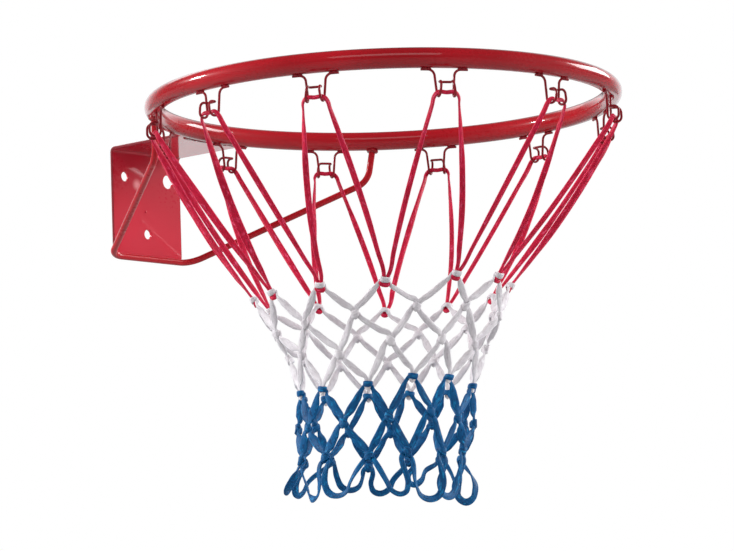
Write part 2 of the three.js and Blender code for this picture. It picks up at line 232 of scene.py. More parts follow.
class Shade:
    """One output of a finish's nodes. Sums of shades and numbers add the Math nodes they need."""

    def __init__(self, finish, socket):
        self.finish = finish
        self.socket = socket

    def __add__(self, other):
        return self.finish.math("ADD", self, other)

    def __radd__(self, other):
        return self.finish.math("ADD", other, self)

    def __sub__(self, other):
        return self.finish.math("SUBTRACT", self, other)

    def __rsub__(self, other):
        return self.finish.math("SUBTRACT", other, self)

    def __mul__(self, other):
        return self.finish.math("MULTIPLY", self, other)

    def __rmul__(self, other):
        return self.finish.math("MULTIPLY", other, self)

    def __pow__(self, other):
        return self.finish.math("POWER", self, other)


class Finish:
    """The nodes of one paint, cord or floor."""

    def __init__(self, name):
        self.material = bpy.data.materials.new(name)
        self.material.use_nodes = True
        self.tree = self.material.node_tree
        self.coat = self.tree.nodes["Principled BSDF"]

    def put(self, kind, settings, feeds, output=0):
        """Adds a node: its settings first, then the values or links of its sockets."""
        node = self.tree.nodes.new(kind)
        for name, value in settings.items():
            setattr(node, name, value)
        self.feed(node, feeds)
        return Shade(self, node.outputs[output])

    def feed(self, node, feeds):
        """Links shades to a node's sockets and sets its other sockets to plain values."""
        for name, value in feeds.items():
            if isinstance(value, Shade):
                self.tree.links.new(value.socket, node.inputs[name])
            else:
                node.inputs[name].default_value = value

    def math(self, operation, *values):
        return self.put("ShaderNodeMath", {"operation": operation}, dict(enumerate(values)))

    def noise(self, place, scale, detail=2.0, roughness=0.5):
        """Cloudy noise from 0 to 1."""
        feeds = {"Vector": place, "Scale": scale, "Detail": detail, "Roughness": roughness}
        return self.put("ShaderNodeTexNoise", {}, feeds)

    def blend(self, factor, first, second):
        """Two colours mixed by a shade."""
        return self.put("ShaderNodeMix", {"data_type": "RGBA"}, {0: factor, 6: first, 7: second}, 2)

    def ease(self, value, low, high):
        """A shade's rise from 0 at one value to 1 at another."""
        feeds = {"Value": value, "From Min": low, "From Max": high}
        return self.put("ShaderNodeMapRange", {"interpolation_type": "SMOOTHSTEP"}, feeds)

    def bump(self, height, strength, distance):
        feeds = {"Height": height, "Strength": strength, "Distance": distance}
        return self.put("ShaderNodeBump", {}, feeds)

    def on(self, piece):
        """Puts this finish on a piece in place of what it had."""
        piece.data.materials.clear()
        piece.data.materials.append(self.material)


def gloss_paint(
    name, bright, deep, roughness=0.3, peel=0.35, dust=0.0, clear=0.9, painted_highlight_at=None, side_shade_at=None
):
    """Glossy red paint: slow drifts of tone where it went on thicker and a fine orange peel. On the
    bracket a paler patch is a painted highlight, and the strip's cut sides carry painted shade."""
    dust_colour = (0.62, 0.3, 0.3, 1)
    painted_highlight_colour = (0.95, 0.42, 0.43, 1)
    painted_highlight_size = (0.0085, 0.0025, 0.0085)
    side_shade_colour = (0.16, 0.006, 0.012, 1)
    paint = Finish(name)
    place = paint.put("ShaderNodeTexCoord", {}, {}, 3)
    drift = paint.ease(paint.noise(place, 9.0, 1.0), 0.3, 0.72)
    fleck = paint.noise(place, 260.0, 2.0)
    colour = paint.blend(drift, (*deep, 1), (*bright, 1))
    dusty = paint.ease(paint.noise(place, 46.0, 4.0, 0.6), 0.52, 0.8) * dust
    colour = paint.blend(dusty, colour, dust_colour)
    # Painted highlight: a paler patch where a light would catch the plate.
    if painted_highlight_at:
        spread = paint.put(
            "ShaderNodeMapping",
            {"vector_type": "TEXTURE"},
            {
                "Vector": place,
                "Location": painted_highlight_at,
                "Rotation": (0, 0.3, 0),
                "Scale": painted_highlight_size,
            },
        )
        far = paint.put("ShaderNodeVectorMath", {"operation": "LENGTH"}, {0: spread}, 1)
        colour = paint.blend(paint.ease(1 - far, 0, 1) * 0.8, colour, painted_highlight_colour)
    # Painted shade: the strip's cut sides are darkened, as if turned away from the light.
    if side_shade_at:
        off_middle = paint.math("ABSOLUTE", paint.put("ShaderNodeSeparateXYZ", {}, {0: place}, 0))
        at_side = paint.ease(off_middle, side_shade_at - 0.0009, side_shade_at - 0.0002)
        colour = paint.blend(at_side * 0.85, colour, side_shade_colour)
    gloss = roughness + 0.08 * (fleck - 0.5) + 0.06 * (drift - 0.5) + 0.3 * dusty
    height = paint.noise(place, 420.0, 1.0) + 0.8 * paint.noise(place, 90.0, 1.0)
    paint.feed(
        paint.coat,
        {
            "Base Color": colour,
            "Roughness": gloss,
            "Normal": paint.bump(height, peel, 0.00008),
            "Coat Weight": clear,
            "Coat Roughness": 0.05,
            "Specular IOR Level": 0.12,
        },
    )
    return paint


# The plate's red is set paler than the ring's: painted light, for the plate faces the lights more
# squarely.
bracket_paint = gloss_paint(
    "bracket_paint",
    (0.63, 0.009, 0.034),
    (0.54, 0.007, 0.027),
    painted_highlight_at=(-0.015, -sheet, 0.0215),
    side_shade_at=plate_width / 2,
)
bracket_paint.on(bracket)
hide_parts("bracket")
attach(bracket, "hoop")

# Ring: 20 mm steel tube rolled into a hoop. Its ends are butt-welded beside the wall, and the weld
# was ground nearly flush before it was painted.
ring = start_piece(
    "ring_tube",
    bpy.ops.mesh.primitive_circle_add,
    vertices=40,
    radius=tube_radius,
    location=(0, ring_axis_y + ring_radius, ring_level),
    rotation=(0, math.pi / 2, 0),
)
bpy.ops.mesh.spin(
    steps=288, angle=2 * math.pi, center=(0, ring_axis_y, ring_level), axis=(0, 0, 1)
)
close_up()
butt_weld_x, butt_weld_reach, butt_weld_rise = 0.006, 0.0035, 0.0004
pick(ring, points=lambda at: at.y > ring_axis_y and abs(at.x - butt_weld_x) < butt_weld_reach)
bpy.ops.transform.shrink_fatten(value=butt_weld_rise)
smooth(ring, 60)
ring_paint = gloss_paint("ring_paint", (0.46, 0.004, 0.012), (0.34, 0.003, 0.008), 0.28, 0.1)
ring_paint.on(ring)
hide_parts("ring")
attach(ring, "hoop")

# Flange weld: a fillet bead run by hand under the flange, along the tube, with the ripples that a
# hand-moved rod leaves.
bead_radius = 0.0026
bead_reach = math.radians(11.3)
bead_level = plate_top - sheet - 0.0008


def ripple(bead, offset, seed):
    """Gives an open bead the uneven run of a weld laid by hand."""
    bpy.ops.transform.vertex_random(offset=offset, normal=0.7, seed=seed)
    bpy.ops.mesh.vertices_smooth(factor=0.5, repeat=2)
    smooth(bead, 80)


flange_weld = start_piece(
    "flange_bead",
    bpy.ops.mesh.primitive_circle_add,
    vertices=14,
    radius=bead_radius,
    fill_type="NGON",
    location=(0, ring_axis_y + ring_radius + tube_radius - 0.0004, bead_level),
    rotation=(0, math.pi / 2, 0),
)
bpy.ops.transform.rotate(
    value=bead_reach, orient_axis="Z", center_override=(0, ring_axis_y, ring_level)
)
bpy.ops.mesh.spin(
    steps=96, angle=2 * bead_reach, center=(0, ring_axis_y, ring_level), axis=(0, 0, -1)
)
bpy.ops.mesh.select_all(action="SELECT")
bpy.ops.mesh.normals_make_consistent(inside=False)
ripple(flange_weld, 0.0011, 11)
weld_paint = gloss_paint("weld_paint", (0.36, 0.007, 0.014), (0.2, 0.004, 0.008), 0.24, 0.7, 0.2)
weld_paint.on(flange_weld)
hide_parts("flange_weld")
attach(flange_weld, "hoop")

# Strut: one 7 mm round bar, bent four times. It crosses the plate's foot, rises to both sides and
# turns up into the underside of the tube.
bar_radius = 0.0035


def away(angle):
    """The direction from the ring's axis at an angle from the wall, in degrees."""
    turn = math.radians(angle)
    return Vector((-math.sin(turn), math.cos(turn), 0))


def bend_bar(name, corners, radius, sides, steps):
    """Pulls a round section along straight stretches and spins it round the bends between them."""
    travel = (corners[1][0] - corners[0][0]).normalized()
    facing = travel.to_track_quat("Z", "Y").to_euler()
    bar = start_piece(
        name,
        bpy.ops.mesh.primitive_circle_add,
        vertices=sides,
        radius=radius,
        fill_type="NGON",
        location=corners[0][0],
        rotation=facing,
    )
    here = corners[0][0]
    for (before, _), (corner, bend), (after, _) in zip(corners, corners[1:], corners[2:]):
        back = (before - corner).normalized()
        ahead = (after - corner).normalized()
        half = back.angle(ahead) / 2
        centre = corner + (back + ahead).normalized() * (bend / math.sin(half))
        touch = corner + back * (bend / math.tan(half))
        bpy.ops.mesh.extrude_region_move(TRANSFORM_OT_translate={"value": touch - here})
        axis = back.cross(ahead).normalized()
        bpy.ops.mesh.spin(steps=steps, angle=math.pi - 2 * half, center=centre, axis=axis)
        here = corner + ahead * (bend / math.tan(half))
    bpy.ops.mesh.extrude_region_move(TRANSFORM_OT_translate={"value": corners[-1][0] - here})
    close_up()
    return bar


def under_ring(angle, drop):
    """A point below the tube's centre line."""
    return away(angle) * ring_radius + Vector((0, ring_axis_y, ring_level - drop))


bar_end_angle = 45.6
bar_head_angle = 44.1
bar_head_drops = {1: 0.0505, -1: 0.045}
bar_foot_half = 0.060
bar_bury = 0.003


def bar_side(side):
    """The bar's corners on one side, from its end in the tube to the plate's foot."""
    end = under_ring(side * bar_end_angle, tube_radius)
    head = under_ring(side * bar_head_angle, bar_head_drops[side])
    past = end + (end - head).normalized() * bar_bury
    foot = Vector((-side * bar_foot_half, -(sheet + fit_gap + bar_radius), -plate_top))
    return [(past, 0), (head, 0.023), (foot, 0.026)]


strut = bend_bar("strut_bar", bar_side(1) + bar_side(-1)[::-1], bar_radius, 28, 14)
smooth(strut, 50)
bar_paint = gloss_paint(
    "bar_paint", (0.5, 0.008, 0.018), (0.42, 0.006, 0.013), 0.28, 0.15, clear=0.5
)
bar_paint.on(strut)
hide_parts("strut")
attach(strut, "hoop")

# Strut welds: a thick bead run once round each end of the bar where it meets the tube.
for side, hand in ((1, "left"), (-1, "right")):
    (past, _), (head, _), _ = bar_side(side)
    along = (past - head).normalized()
    seat = under_ring(side * bar_end_angle, tube_radius) - along * 0.0004
    off_bar = along.cross(Vector((0, 0, 1)).cross(away(side * bar_end_angle))).normalized()
    section_turn = along.cross(off_bar).normalized()
    bead = start_piece(
        f"strut_bead_{hand}",
        bpy.ops.mesh.primitive_circle_add,
        vertices=12,
        radius=bead_radius,
        location=seat + off_bar * (bar_radius + 0.0006),
        rotation=section_turn.to_track_quat("Z", "Y").to_euler(),
    )
    bpy.ops.mesh.spin(steps=30, angle=2 * math.pi, center=seat, axis=along)
    close_up()
    ripple(bead, 0.0012, 21 + side)
    weld_paint.on(bead)
    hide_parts(f"strut_weld_{hand}")
    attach(bead, "hoop")

# Hooks: 2.5 mm wire bent on a jig. Two feet lie under the tube, two legs end in troughs for the
# net's cord, and a bar closes them at the top. Each foot is held by a spot of weld.
wire_radius = 0.00125
hook_phase = -3.7
hook_strays = (0, 0, -0.2, -0.4, -1.1, -0.6, -0.5, 0, 0.3, 0.8, 1.1, 0.7)
foot_level = -(tube_radius + fit_gap + wire_radius)
foot_end, foot_bend = 0.0234, 0.0104
leg_spread = 0.0078
trough_level, trough_reach = -0.0385, 0.011
bar_spread, bar_level, bar_reach = 0.006, -0.024, 0.0015


def beside_ring(u, w, z):
    """A point by the hook that sits at the wall: u onwards round the ring, w away from its axis."""
    return Vector((-u, ring_axis_y + ring_radius + w, ring_level + z))


def hook_side(side):
    """A hook's corners from one foot's end to the closing bar, each with the radius of its bend."""
    return [
        (beside_ring(side * foot_end, 0, foot_level), 0),
        (beside_ring(side * foot_bend, 0, foot_level), 0.0065),
        (beside_ring(side * leg_spread, 0, trough_level), 0.00528),
        (beside_ring(side * leg_spread, trough_reach, trough_level), 0.00528),
        (beside_ring(side * bar_spread, trough_reach, bar_level), 0.0052),
        (beside_ring(side * bar_spread, bar_reach, bar_level), 0.0022),
    ]


first_hook = bend_bar("hook_wire_01", hook_side(-1) + hook_side(1)[::-1], wire_radius, 16, 8)
spot_radius = 0.0018
for side in (-1, 1):
    for part, length in ((0.0196, 0.0032), (0.0155, 0.0024)):
        spot_place = beside_ring(side * part, 0, foot_level + 0.0009)
        spot = start_piece(
            "weld_spot",
            bpy.ops.mesh.primitive_uv_sphere_add,
            segments=14,
            ring_count=9,
            radius=spot_radius,
            location=spot_place,
        )
        bpy.ops.transform.resize(
            value=(length / spot_radius, 1.15, 0.8), center_override=spot_place
        )
        bpy.ops.transform.vertex_random(offset=0.0005, normal=0.8, seed=31 + round(part * 1e4))
        join_to(first_hook, spot)
smooth(first_hook, 60)
wire_paint = gloss_paint("wire_paint", (0.3, 0.007, 0.017), (0.19, 0.005, 0.01), 0.34, clear=0.5)
wire_paint.on(first_hook)
ring_centre = Vector((0, ring_axis_y, ring_level))
hooks = [first_hook]
for number in range(2, 13):
    hook = first_hook.copy()
    hook.data = first_hook.data.copy()
    hook.name = hook.data.name = f"hook_wire_{number:02d}"
    bpy.context.collection.objects.link(hook)
    hooks.append(hook)
for number, (hook, stray) in enumerate(zip(hooks, hook_strays)):
    turn = Matrix.Rotation(math.radians(hook_phase + 30 * number + stray), 4, "Z")
    hook.matrix_world = Matrix.Translation(ring_centre) @ turn @ Matrix.Translation(-ring_centre)
    take(hook)
    bpy.ops.object.transform_apply(location=True, rotation=True, scale=True)
    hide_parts(f"hook_{number + 1:02d}")
    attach(hook, "hoop")

# Red cord: one loop of soft flat braid, laid over the twelve hooks. Between them it hangs down in
# long loops, which the white cord's first row of knots ties off.
cord_thickness = 0.0022
rows = (  # how far below the ring each row of knots hangs, and its distance from the net's axis
    (0.2023, 0.1293),
    (0.2278, 0.1116),
    (0.2566, 0.0999),
    (0.2965, 0.0881),
    (0.3328, 0.0870),
    (0.3671, 0.0823),
    (0.3990, 0.0846),
)
cord_level = 0.0346
cord_top_radius = 0.232
hem_lean = -0.017
slips_across = (  # how far each row's knots have slipped across the view, in millimetres
    (-7, -5, -2, 0, 0, 6, 2, -1, 0, 1, 0, -6),
    (-4, -4, -2, -1, -1, 2, 1, 7, 3, 6, 6, -1),
    (0, 2, 2, 4, 5, 6, 3, 2, 4, 1, 2, 2),
    (0, 0, -1, -1, 5, 4, 1, 3, 3, 2, 2, 4),
    (3, -2, -3, 1, 3, 1, -3, 2, 5, 4, 5, 5),
    (1, -4, -6, -3, 4, 0, -2, -2, -3, -2, 2, 3),
    (-17, -16, 1, -6, 16, 1, -12, -4, 0, -15, -8, 5),
)
slips_up = (  # and how far up it
    (2, 7, 6, 4, 2, 5, 5, 1, -1, -1, 1, 8),
    (4, -3, -6, -5, -2, 1, 1, -6, 1, -4, -3, -2),
    (0, -2, -3, -9, -1, -2, -7, -7, -9, -7, -5, -4),
    (0, -1, 0, -1, -1, 3, 1, -6, -6, -3, 1, 2),
    (8, 2, -1, -1, 0, 3, -3, -6, -2, 3, -1, 2),
    (6, 3, 2, 1, -1, -1, -2, 0, -5, 0, 1, -1),
    (3, 5, -6, -7, -9, -17, -15, -19, -5, 7, 2, 8),
)
millimetre_across = camera_turn @ Vector((0.001, 0, 0))
millimetre_up = camera_turn @ Vector((0, 0.001, 0))
view_across = millimetre_across.normalized()
towards_front = camera_turn @ Vector((0, 0, 1))
lay = random.Random(7)


def even_place(row, angle):
    """Where a knot would hang if the net were evenly spread."""
    drop, radius = rows[row]
    share = (drop - cord_level) / (rows[-1][0] - cord_level)
    askew = min(1, (drop - cord_level) / (rows[0][0] - cord_level))
    place = away(angle) * radius
    rise = askew * (0.03 * place.x - 0.034 * place.y)
    return place + Vector((hem_lean * share, ring_axis_y, ring_level - drop + rise))


def row_angle(row, turn):
    """Where a knot sits round the net, in degrees. Every other row is half a step on."""
    return hook_phase + (15 if row % 2 == 0 else 0) + 30 * turn


def knot_place(row, turn):
    """Where a knot hangs, slipped from its even place."""
    across = millimetre_across * slips_across[row][turn % 12]
    up = millimetre_up * slips_up[row][turn % 12]
    return even_place(row, row_angle(row, turn)) + across + up


def place_over(row, turn):
    """The middle of what a knot hangs from: the two knots or the hooks above it."""
    if row == 0:
        middle = Vector((0, ring_axis_y, ring_level - cord_level))
        return away(row_angle(row, turn)) * cord_top_radius + middle
    first = turn if row % 2 == 0 else turn - 1
    return (knot_place(row - 1, first) + knot_place(row - 1, first + 1)) / 2


class Knot:
    """The place of one knot, and its own directions: onwards round the net, up it and out of it."""

    def __init__(self, row, turn, tilt, size):
        self.at = knot_place(row, turn)
        angle = row_angle(row, turn)
        onwards = away(angle + 90)
        up = (place_over(row, turn) - self.at).normalized()
        up = (up - onwards * up.dot(onwards)).normalized()
        self.out = onwards.cross(up).normalized()
        if self.out.dot(away(angle)) < 0:
            self.out.negate()
        lean = Matrix.Rotation(math.radians(tilt), 3, self.out)
        self.onwards = lean @ onwards
        self.up = lean @ up
        self.size = size

    def point(self, u, k, w):
        """A place near the knot, in its own directions and in millimetres for a knot of size 1."""
        return self.at + (self.onwards * u + self.up * k + self.out * w) * (0.001 * self.size)

    def face(self, u, k, w):
        """A direction given in the knot's own directions."""
        return (self.onwards * u + self.up * k + self.out * w).normalized()


knot_sizes = (0.9, 0.72, 0.72, 0.86, 0.74, 0.74)
knots = {
    (row, turn): Knot(row, turn, lay.uniform(-13, 13), knot_sizes[row] * lay.uniform(0.93, 1.06))
    for row in range(6)
    for turn in range(12)
}


def round_turn(knot, slant=0.0, broad=1.0):
    """The lower cord's turn round the two legs of the cord above: in behind, round the front and
    out behind. Each stop has a place, the way its flat side faces, a width and a thickness."""
    path = (
        ((-6.0, -5.4, -0.8), (0, 0, -1), 4.1, 2.4),
        ((-3.0, -1.7, -3.2), (0, 0, -1), 4.6, 1.8),
        ((2.8, 0.5, -3.3), (0, 0, -1), 5.0, 1.7),
        ((4.9, 0.8, -1.2), (1, 0, -0.2), 5.4, 1.7),
        ((4.2, 0.7, 2.0), (0.8, 0, 0.8), 5.8, 1.8),
        ((0.0, 0.4, 3.0), (0, 0, 1), 6.2, 2.0),
        ((-4.2, 0.1, 2.0), (-0.8, 0, 0.8), 5.8, 1.8),
        ((-4.9, -0.2, -1.2), (-1, 0, -0.2), 5.4, 1.7),
        ((-2.8, -0.8, -4.3), (0, 0, -1), 5.0, 1.7),
        ((2.9, -2.3, -4.5), (0, 0, -1), 4.6, 1.8),
        ((6.0, -5.4, -1.2), (0, 0, -1), 4.1, 2.4),
    )
    return [
        (
            knot.point(u, k + slant * u * (1 if w > 0 else 0.3), w),
            knot.face(*face),
            0.001 * width * broad,
            0.001 * thickness,
        )
        for (u, k, w), face, width, thickness in path
    ]


def bight(knot, roll, tight, broad=1.0, wide=1.0):
    """The upper cord's two legs through the knot and the rolled bight that shows under it."""
    side = (
        ((3.0 * tight * broad, 7.2, 0.3), 4.2 * broad, 2.4),
        ((2.1 * tight * broad, 3.4, 0.0), 3.8 * broad, 2.8),
        ((2.0 * tight, -2.4, 0.0), 3.6, 3.2),
        ((2.9 * roll * tight * wide, -3.6 - 1.6 * roll, 0.4), 4.4 * roll, 3.8 * roll),
    )
    turn = ((0.0, -4.0 - 2.6 * roll, 0.8), 4.6 * roll, 4.0 * roll)
    path = [((-u, k, w), width, thickness) for (u, k, w), width, thickness in side]
    path += [turn, *side[::-1]]
    return [
        (knot.point(*place), knot.face(0, 0, -1), 0.001 * width, 0.001 * thickness)
        for place, width, thickness in path
    ]


def hang(first, last, shares, drop, spin, width, bow=None):
    """Stations of a strand between two others, at shares of its length. It sags and bows a little,
    spreads flat between its pinched ends and turns its flat side mostly to the front, as this net
    happens to lie."""
    pinch = 0.66
    stations = []
    travel = (last[0] - first[0]).normalized()
    for share in shares:
        swell = math.sin(math.pi * share)
        place = first[0].lerp(last[0], share) - Vector((0, 0, drop * swell))
        if bow:
            place += bow * swell
        face = first[1].lerp(last[1], share)
        axis = Vector((hem_lean / 2, ring_axis_y, place.z))
        out = (place - axis).normalized()
        shown = towards_front + out * (0.6 if out.dot(towards_front) > 0 else -0.6)
        shown = (shown - travel * shown.dot(travel)).normalized()
        if shown.dot(face) < 0:
            shown.negate()
        face = face.lerp(shown, swell)
        face = (face - travel * face.dot(travel)).normalized()
        face = Matrix.Rotation(math.radians(spin * swell), 3, travel) @ face
        spread = width * (pinch + (1 - pinch) * swell**0.7) * lay.uniform(0.86, 1.1)
        stations.append((place, face, spread, cord_thickness * (1.25 - 0.3 * swell)))
    return stations


def smoothly(first, leaving, last, arriving, shares):
    """A sum of a curve's two ends and its directions there, in four shares."""
    return first * shares[0] + leaving * shares[1] + last * shares[2] + arriving * shares[3]


def lay_cord(name, stations):
    """Sweeps flat braid in a closed loop through its stations. Each has its place, the way its flat
    side faces, its width and its thickness."""
    pace = 0.0016
    sides = 12
    squareness = 0.8
    count = len(stations)
    places = [station[0] for station in stations]
    gaps = [(places[(i + 1) % count] - places[i]).length for i in range(count)]
    travels = []
    for i in range(count):
        before = (places[i] - places[i - 1]) / gaps[i - 1]
        after = (places[(i + 1) % count] - places[i]) / gaps[i]
        travels.append((before * gaps[i] + after * gaps[i - 1]).normalized())
    flats = [stations[0][1]]
    for station in stations[1:]:
        flats.append(station[1] if station[1].dot(flats[-1]) > 0 else -station[1])
    turned_over = flats[0].dot(flats[-1]) < 0
    flats.append(-flats[0] if turned_over else flats[0])
    points = []
    lengths = []
    run = 0.0
    for i in range(count):
        j = (i + 1) % count
        steps = max(2, math.ceil(gaps[i] / pace))
        for step in range(steps):
            t = step / steps
            ends = (places[i], travels[i] * gaps[i], places[j], travels[j] * gaps[i])
            held = (2 * t**3 - 3 * t**2 + 1, t**3 - 2 * t**2 + t, 3 * t**2 - 2 * t**3, t**3 - t**2)
            moved = (6 * t**2 - 6 * t, 3 * t**2 - 4 * t + 1, 6 * t - 6 * t**2, 3 * t**2 - 2 * t)
            at = smoothly(*ends, held)
            travel = smoothly(*ends, moved).normalized()
            turn = t * t * (3 - 2 * t)
            face = flats[i].lerp(flats[i + 1], turn)
            face = (face - travel * face.dot(travel)).normalized()
            across = travel.cross(face)
            width = stations[i][2] * (1 - turn) + stations[j][2] * turn
            thickness = stations[i][3] * (1 - turn) + stations[j][3] * turn
            for side in range(sides):
                angle = 2 * math.pi * side / sides
                c, n = math.cos(angle), math.sin(angle)
                x = math.copysign(abs(c) ** squareness, c) * width / 2
                y = math.copysign(abs(n) ** squareness, n) * thickness / 2
                points.append(at + across * x + face * y)
            lengths.append(run + t * gaps[i])
        run += gaps[i]
    total = len(lengths)
    faces = []
    spread = []
    for here in range(total):
        onward = (here + 1) % total
        start, end = lengths[here] * 100, (lengths[onward] if onward else run) * 100
        shift = sides // 2 if turned_over and not onward else 0
        for side in range(sides):
            other = (side + 1) % sides
            near = here * sides + side, here * sides + other
            far = onward * sides + (side + shift) % sides, onward * sides + (other + shift) % sides
            faces.append((near[0], far[0], far[1], near[1]))
            low, high = side / sides, (side + 1) / sides
            spread += [start, low, end, low, end, high, start, high]
    mesh = bpy.data.meshes.new(name)
    mesh.from_pydata(points, [], faces)
    mesh.uv_layers.new(name="cord").data.foreach_set("uv", spread)
    mesh.polygons.foreach_set("use_smooth", [True] * len(faces))
    mesh.update()
    cord = bpy.data.objects.new(name, mesh)
    bpy.context.collection.objects.link(cord)
    return cord


def over_hook(turn):
    """The cord over one hook: flat side up in the two troughs, then down outside the wire."""
    angle = hook_phase + 30 * turn + hook_strays[turn]
    out, onwards, up = away(angle), away(angle + 90), Vector((0, 0, 1))
    middle = out * (ring_radius + 0.0055) + Vector((0, ring_axis_y, ring_level - cord_level))
    side = (
        ((13.4, -11.0, -5.0), (1, 0.1, 0.5), 5.4, 2.2),
        ((12.2, -4.0, -1.2), (1, 0.5, 0.9), 5.0, 2.6),
        ((9.3, -0.4, 0.0), (0.35, 0.5, 0.8), 4.6, 2.8),
    )
    path = [
        ((-u, k, w), (-a, b, c), width, thickness)
        for (u, k, w), (a, b, c), width, thickness in side
    ]
    path += [((0.0, -0.2, 0.0), (0, 0.5, 0.85), 4.6, 2.8), *side[::-1]]
    return [
        (
            middle + onwards * (0.001 * u) + up * (0.001 * k) + out * (0.001 * w),
            (onwards * a + up * b + out * c).normalized(),
            0.001 * width,
            0.001 * thickness,
        )
        for (u, k, w), (a, b, c), width, thickness in path
    ]


red_sag = 0.006
red_bow = 0.004
down_shares = (0.12, 0.35, 0.6, 0.85)
up_shares = (0.15, 0.4, 0.65, 0.88)
red_stations = []
for turn in range(12):
    top = over_hook(turn)
    outward = away(row_angle(0, turn))
    at_front = outward.dot(towards_front) > 0
    bottom = bight(knots[0, turn], 1.0, 1.0, wide=1.5 if at_front else 1.0)
    following = over_hook((turn + 1) % 12)
    down_bow = away(hook_phase + 30 * turn + 90) * red_bow
    up_bow = away(hook_phase + 30 * turn + 120) * -red_bow
    spins = (lay.uniform(-28, 28), lay.uniform(-28, 28))
    width = 0.0061 - 0.0018 * min(0.0, outward.dot(view_across))
    red_stations += top
    red_stations += hang(top[-1], bottom[0], down_shares, red_sag, spins[0], width, down_bow)
    red_stations += bottom
    red_stations += hang(bottom[-1], following[0], up_shares, red_sag, spins[1], width, up_bow)
red_cord = lay_cord("red_cord", red_stations)


def braid(name, base, light, shadow, lit_side_colour, sheen):
    """Smooth flat braid: two sets of fine yarns crossing with painted shade between them, painted
    highlight streaks and painted shade in creases along it, and thin sides painted lighter."""
    yarns_along, yarns_around = 62.8, 75.4
    cord = Finish(name)
    spread = cord.put("ShaderNodeTexCoord", {}, {}, 2)
    along = cord.put("ShaderNodeSeparateXYZ", {}, {0: spread}, 0)
    around = cord.put("ShaderNodeSeparateXYZ", {}, {0: spread}, 1)
    place = cord.put("ShaderNodeTexCoord", {}, {}, 3)
    left = cord.math("SINE", along * yarns_along + around * yarns_around)
    right = cord.math("SINE", along * yarns_along - around * yarns_around)
    weave = cord.math("MAXIMUM", left, right)
    stretched = cord.put("ShaderNodeMapping", {}, {"Vector": spread, "Scale": (0.35, 2.4, 1.0)})
    sheen_streak = cord.ease(cord.noise(stretched, 3.2, 3.0, 0.6), 0.52, 0.72)
    side = cord.math("ABSOLUTE", cord.math("COSINE", around * (2 * math.pi)))
    crease_shade = 1 - cord.ease(cord.noise(stretched, 5.3, 2.0), 0.36, 0.46)
    edge = cord.ease(side, 0.72, 1.0)
    drift = cord.ease(cord.noise(place, 38.0, 2.0), 0.35, 0.7)
    tone = cord.blend(drift * 0.5, (*base, 1), (*shadow, 1))
    # Painted highlight: paler streaks along the cord stand in for the sheen of the glossy yarn.
    tone = cord.blend(sheen_streak * 0.7, tone, (*light, 1))
    # Painted light: the thin sides are lightened, as if light shone through them.
    tone = cord.blend(edge * 0.5, tone, (*lit_side_colour, 1))
    # Painted shade: darker between the crossing yarns and in creases along the cord.
    tone = cord.blend(0.12 * (1 - weave) + 0.65 * crease_shade, tone, (*shadow, 1))
    cord.feed(
        cord.coat,
        {
            "Base Color": tone,
            "Roughness": 0.52 + 0.14 * (sheen_streak - 0.5),
            "Normal": cord.bump(weave, 0.35, 0.00012),
            "Specular IOR Level": 0.22,
            "Sheen Weight": sheen,
            "Sheen Roughness": 0.4,
        },
    )
    return cord


red_braid = braid(
    "red_cord",
    base=(0.68, 0.008, 0.052),
    light=(0.94, 0.13, 0.28),
    shadow=(0.4, 0.003, 0.024),
    lit_side_colour=(0.86, 0.05, 0.15),
    sheen=0.05,
)
red_braid.on(red_cord)
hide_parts("net_red")
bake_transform(red_cord)

# White cord: three loops of the same braid. Each ties its round turns about the bights of the loop
# above, half a step on, and the last one's bights hang in the first blue knots.
slants = {
    (row, turn): lay.uniform(0.25, 0.6) * lay.choice((-1, 1))
    for row in range(6)
    for turn in range(12)
}


def own_turn(row, turn):
    """A loop's turn round the cord above: a neat band on another colour, drawn out slantwise on
    its own."""
    knot = knots[row, turn % 12]
    if row in (0, 3):
        return round_turn(knot)
    return round_turn(knot, slants[row, turn % 12], 1.3)


def net_loop(name, row, roll, tight, broad, width):
    """One loop of cord that zigzags between its own knots and the bights in the row below. At the
    sides of the view it is a little wider and twists less."""
    shares = (0.33, 0.67)
    sag = 0.001
    stations = []
    for turn in range(12):
        own = own_turn(row, turn)
        lower_turn = turn if row % 2 else turn + 1
        below = bight(knots[row + 1, lower_turn % 12], roll, tight, broad)
        following = own_turn(row, turn + 1)
        to_side = abs(away(row_angle(row, turn)).dot(view_across))
        twist = 40 - 28 * to_side
        spins = (lay.uniform(-twist, twist), lay.uniform(-twist, twist))
        full = width * (1 + 0.22 * to_side)
        stations += own
        stations += hang(own[-1], below[0], shares, sag, spins[0], full)
        stations += below
        stations += hang(below[-1], following[0], shares, sag, spins[1], full)
    return lay_cord(name, stations)


white_braid = braid(
    "white_cord",
    base=(0.72, 0.69, 0.71),
    light=(0.9, 0.89, 0.9),
    shadow=(0.54, 0.5, 0.53),
    lit_side_colour=(0.94, 0.93, 0.95),
    sheen=0.2,
)
white_width = 0.0067
white_loops = (
    ("white_cord_top", 0, 0.72, 0.66, 1.35),
    ("white_cord_middle", 1, 0.72, 0.66, 1.35),
    ("white_cord_low", 2, 0.66, 0.9, 1.0),
)
for name, row, roll, tight, broad in white_loops:
    white_cord = net_loop(name, row, roll, tight, broad, white_width)
    white_braid.on(white_cord)
    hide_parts("net_white")
    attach(white_cord, "net")

# Blue cord: three more loops, wider braid than the white. The last one has no knots below it and
# hangs in twelve open loops.


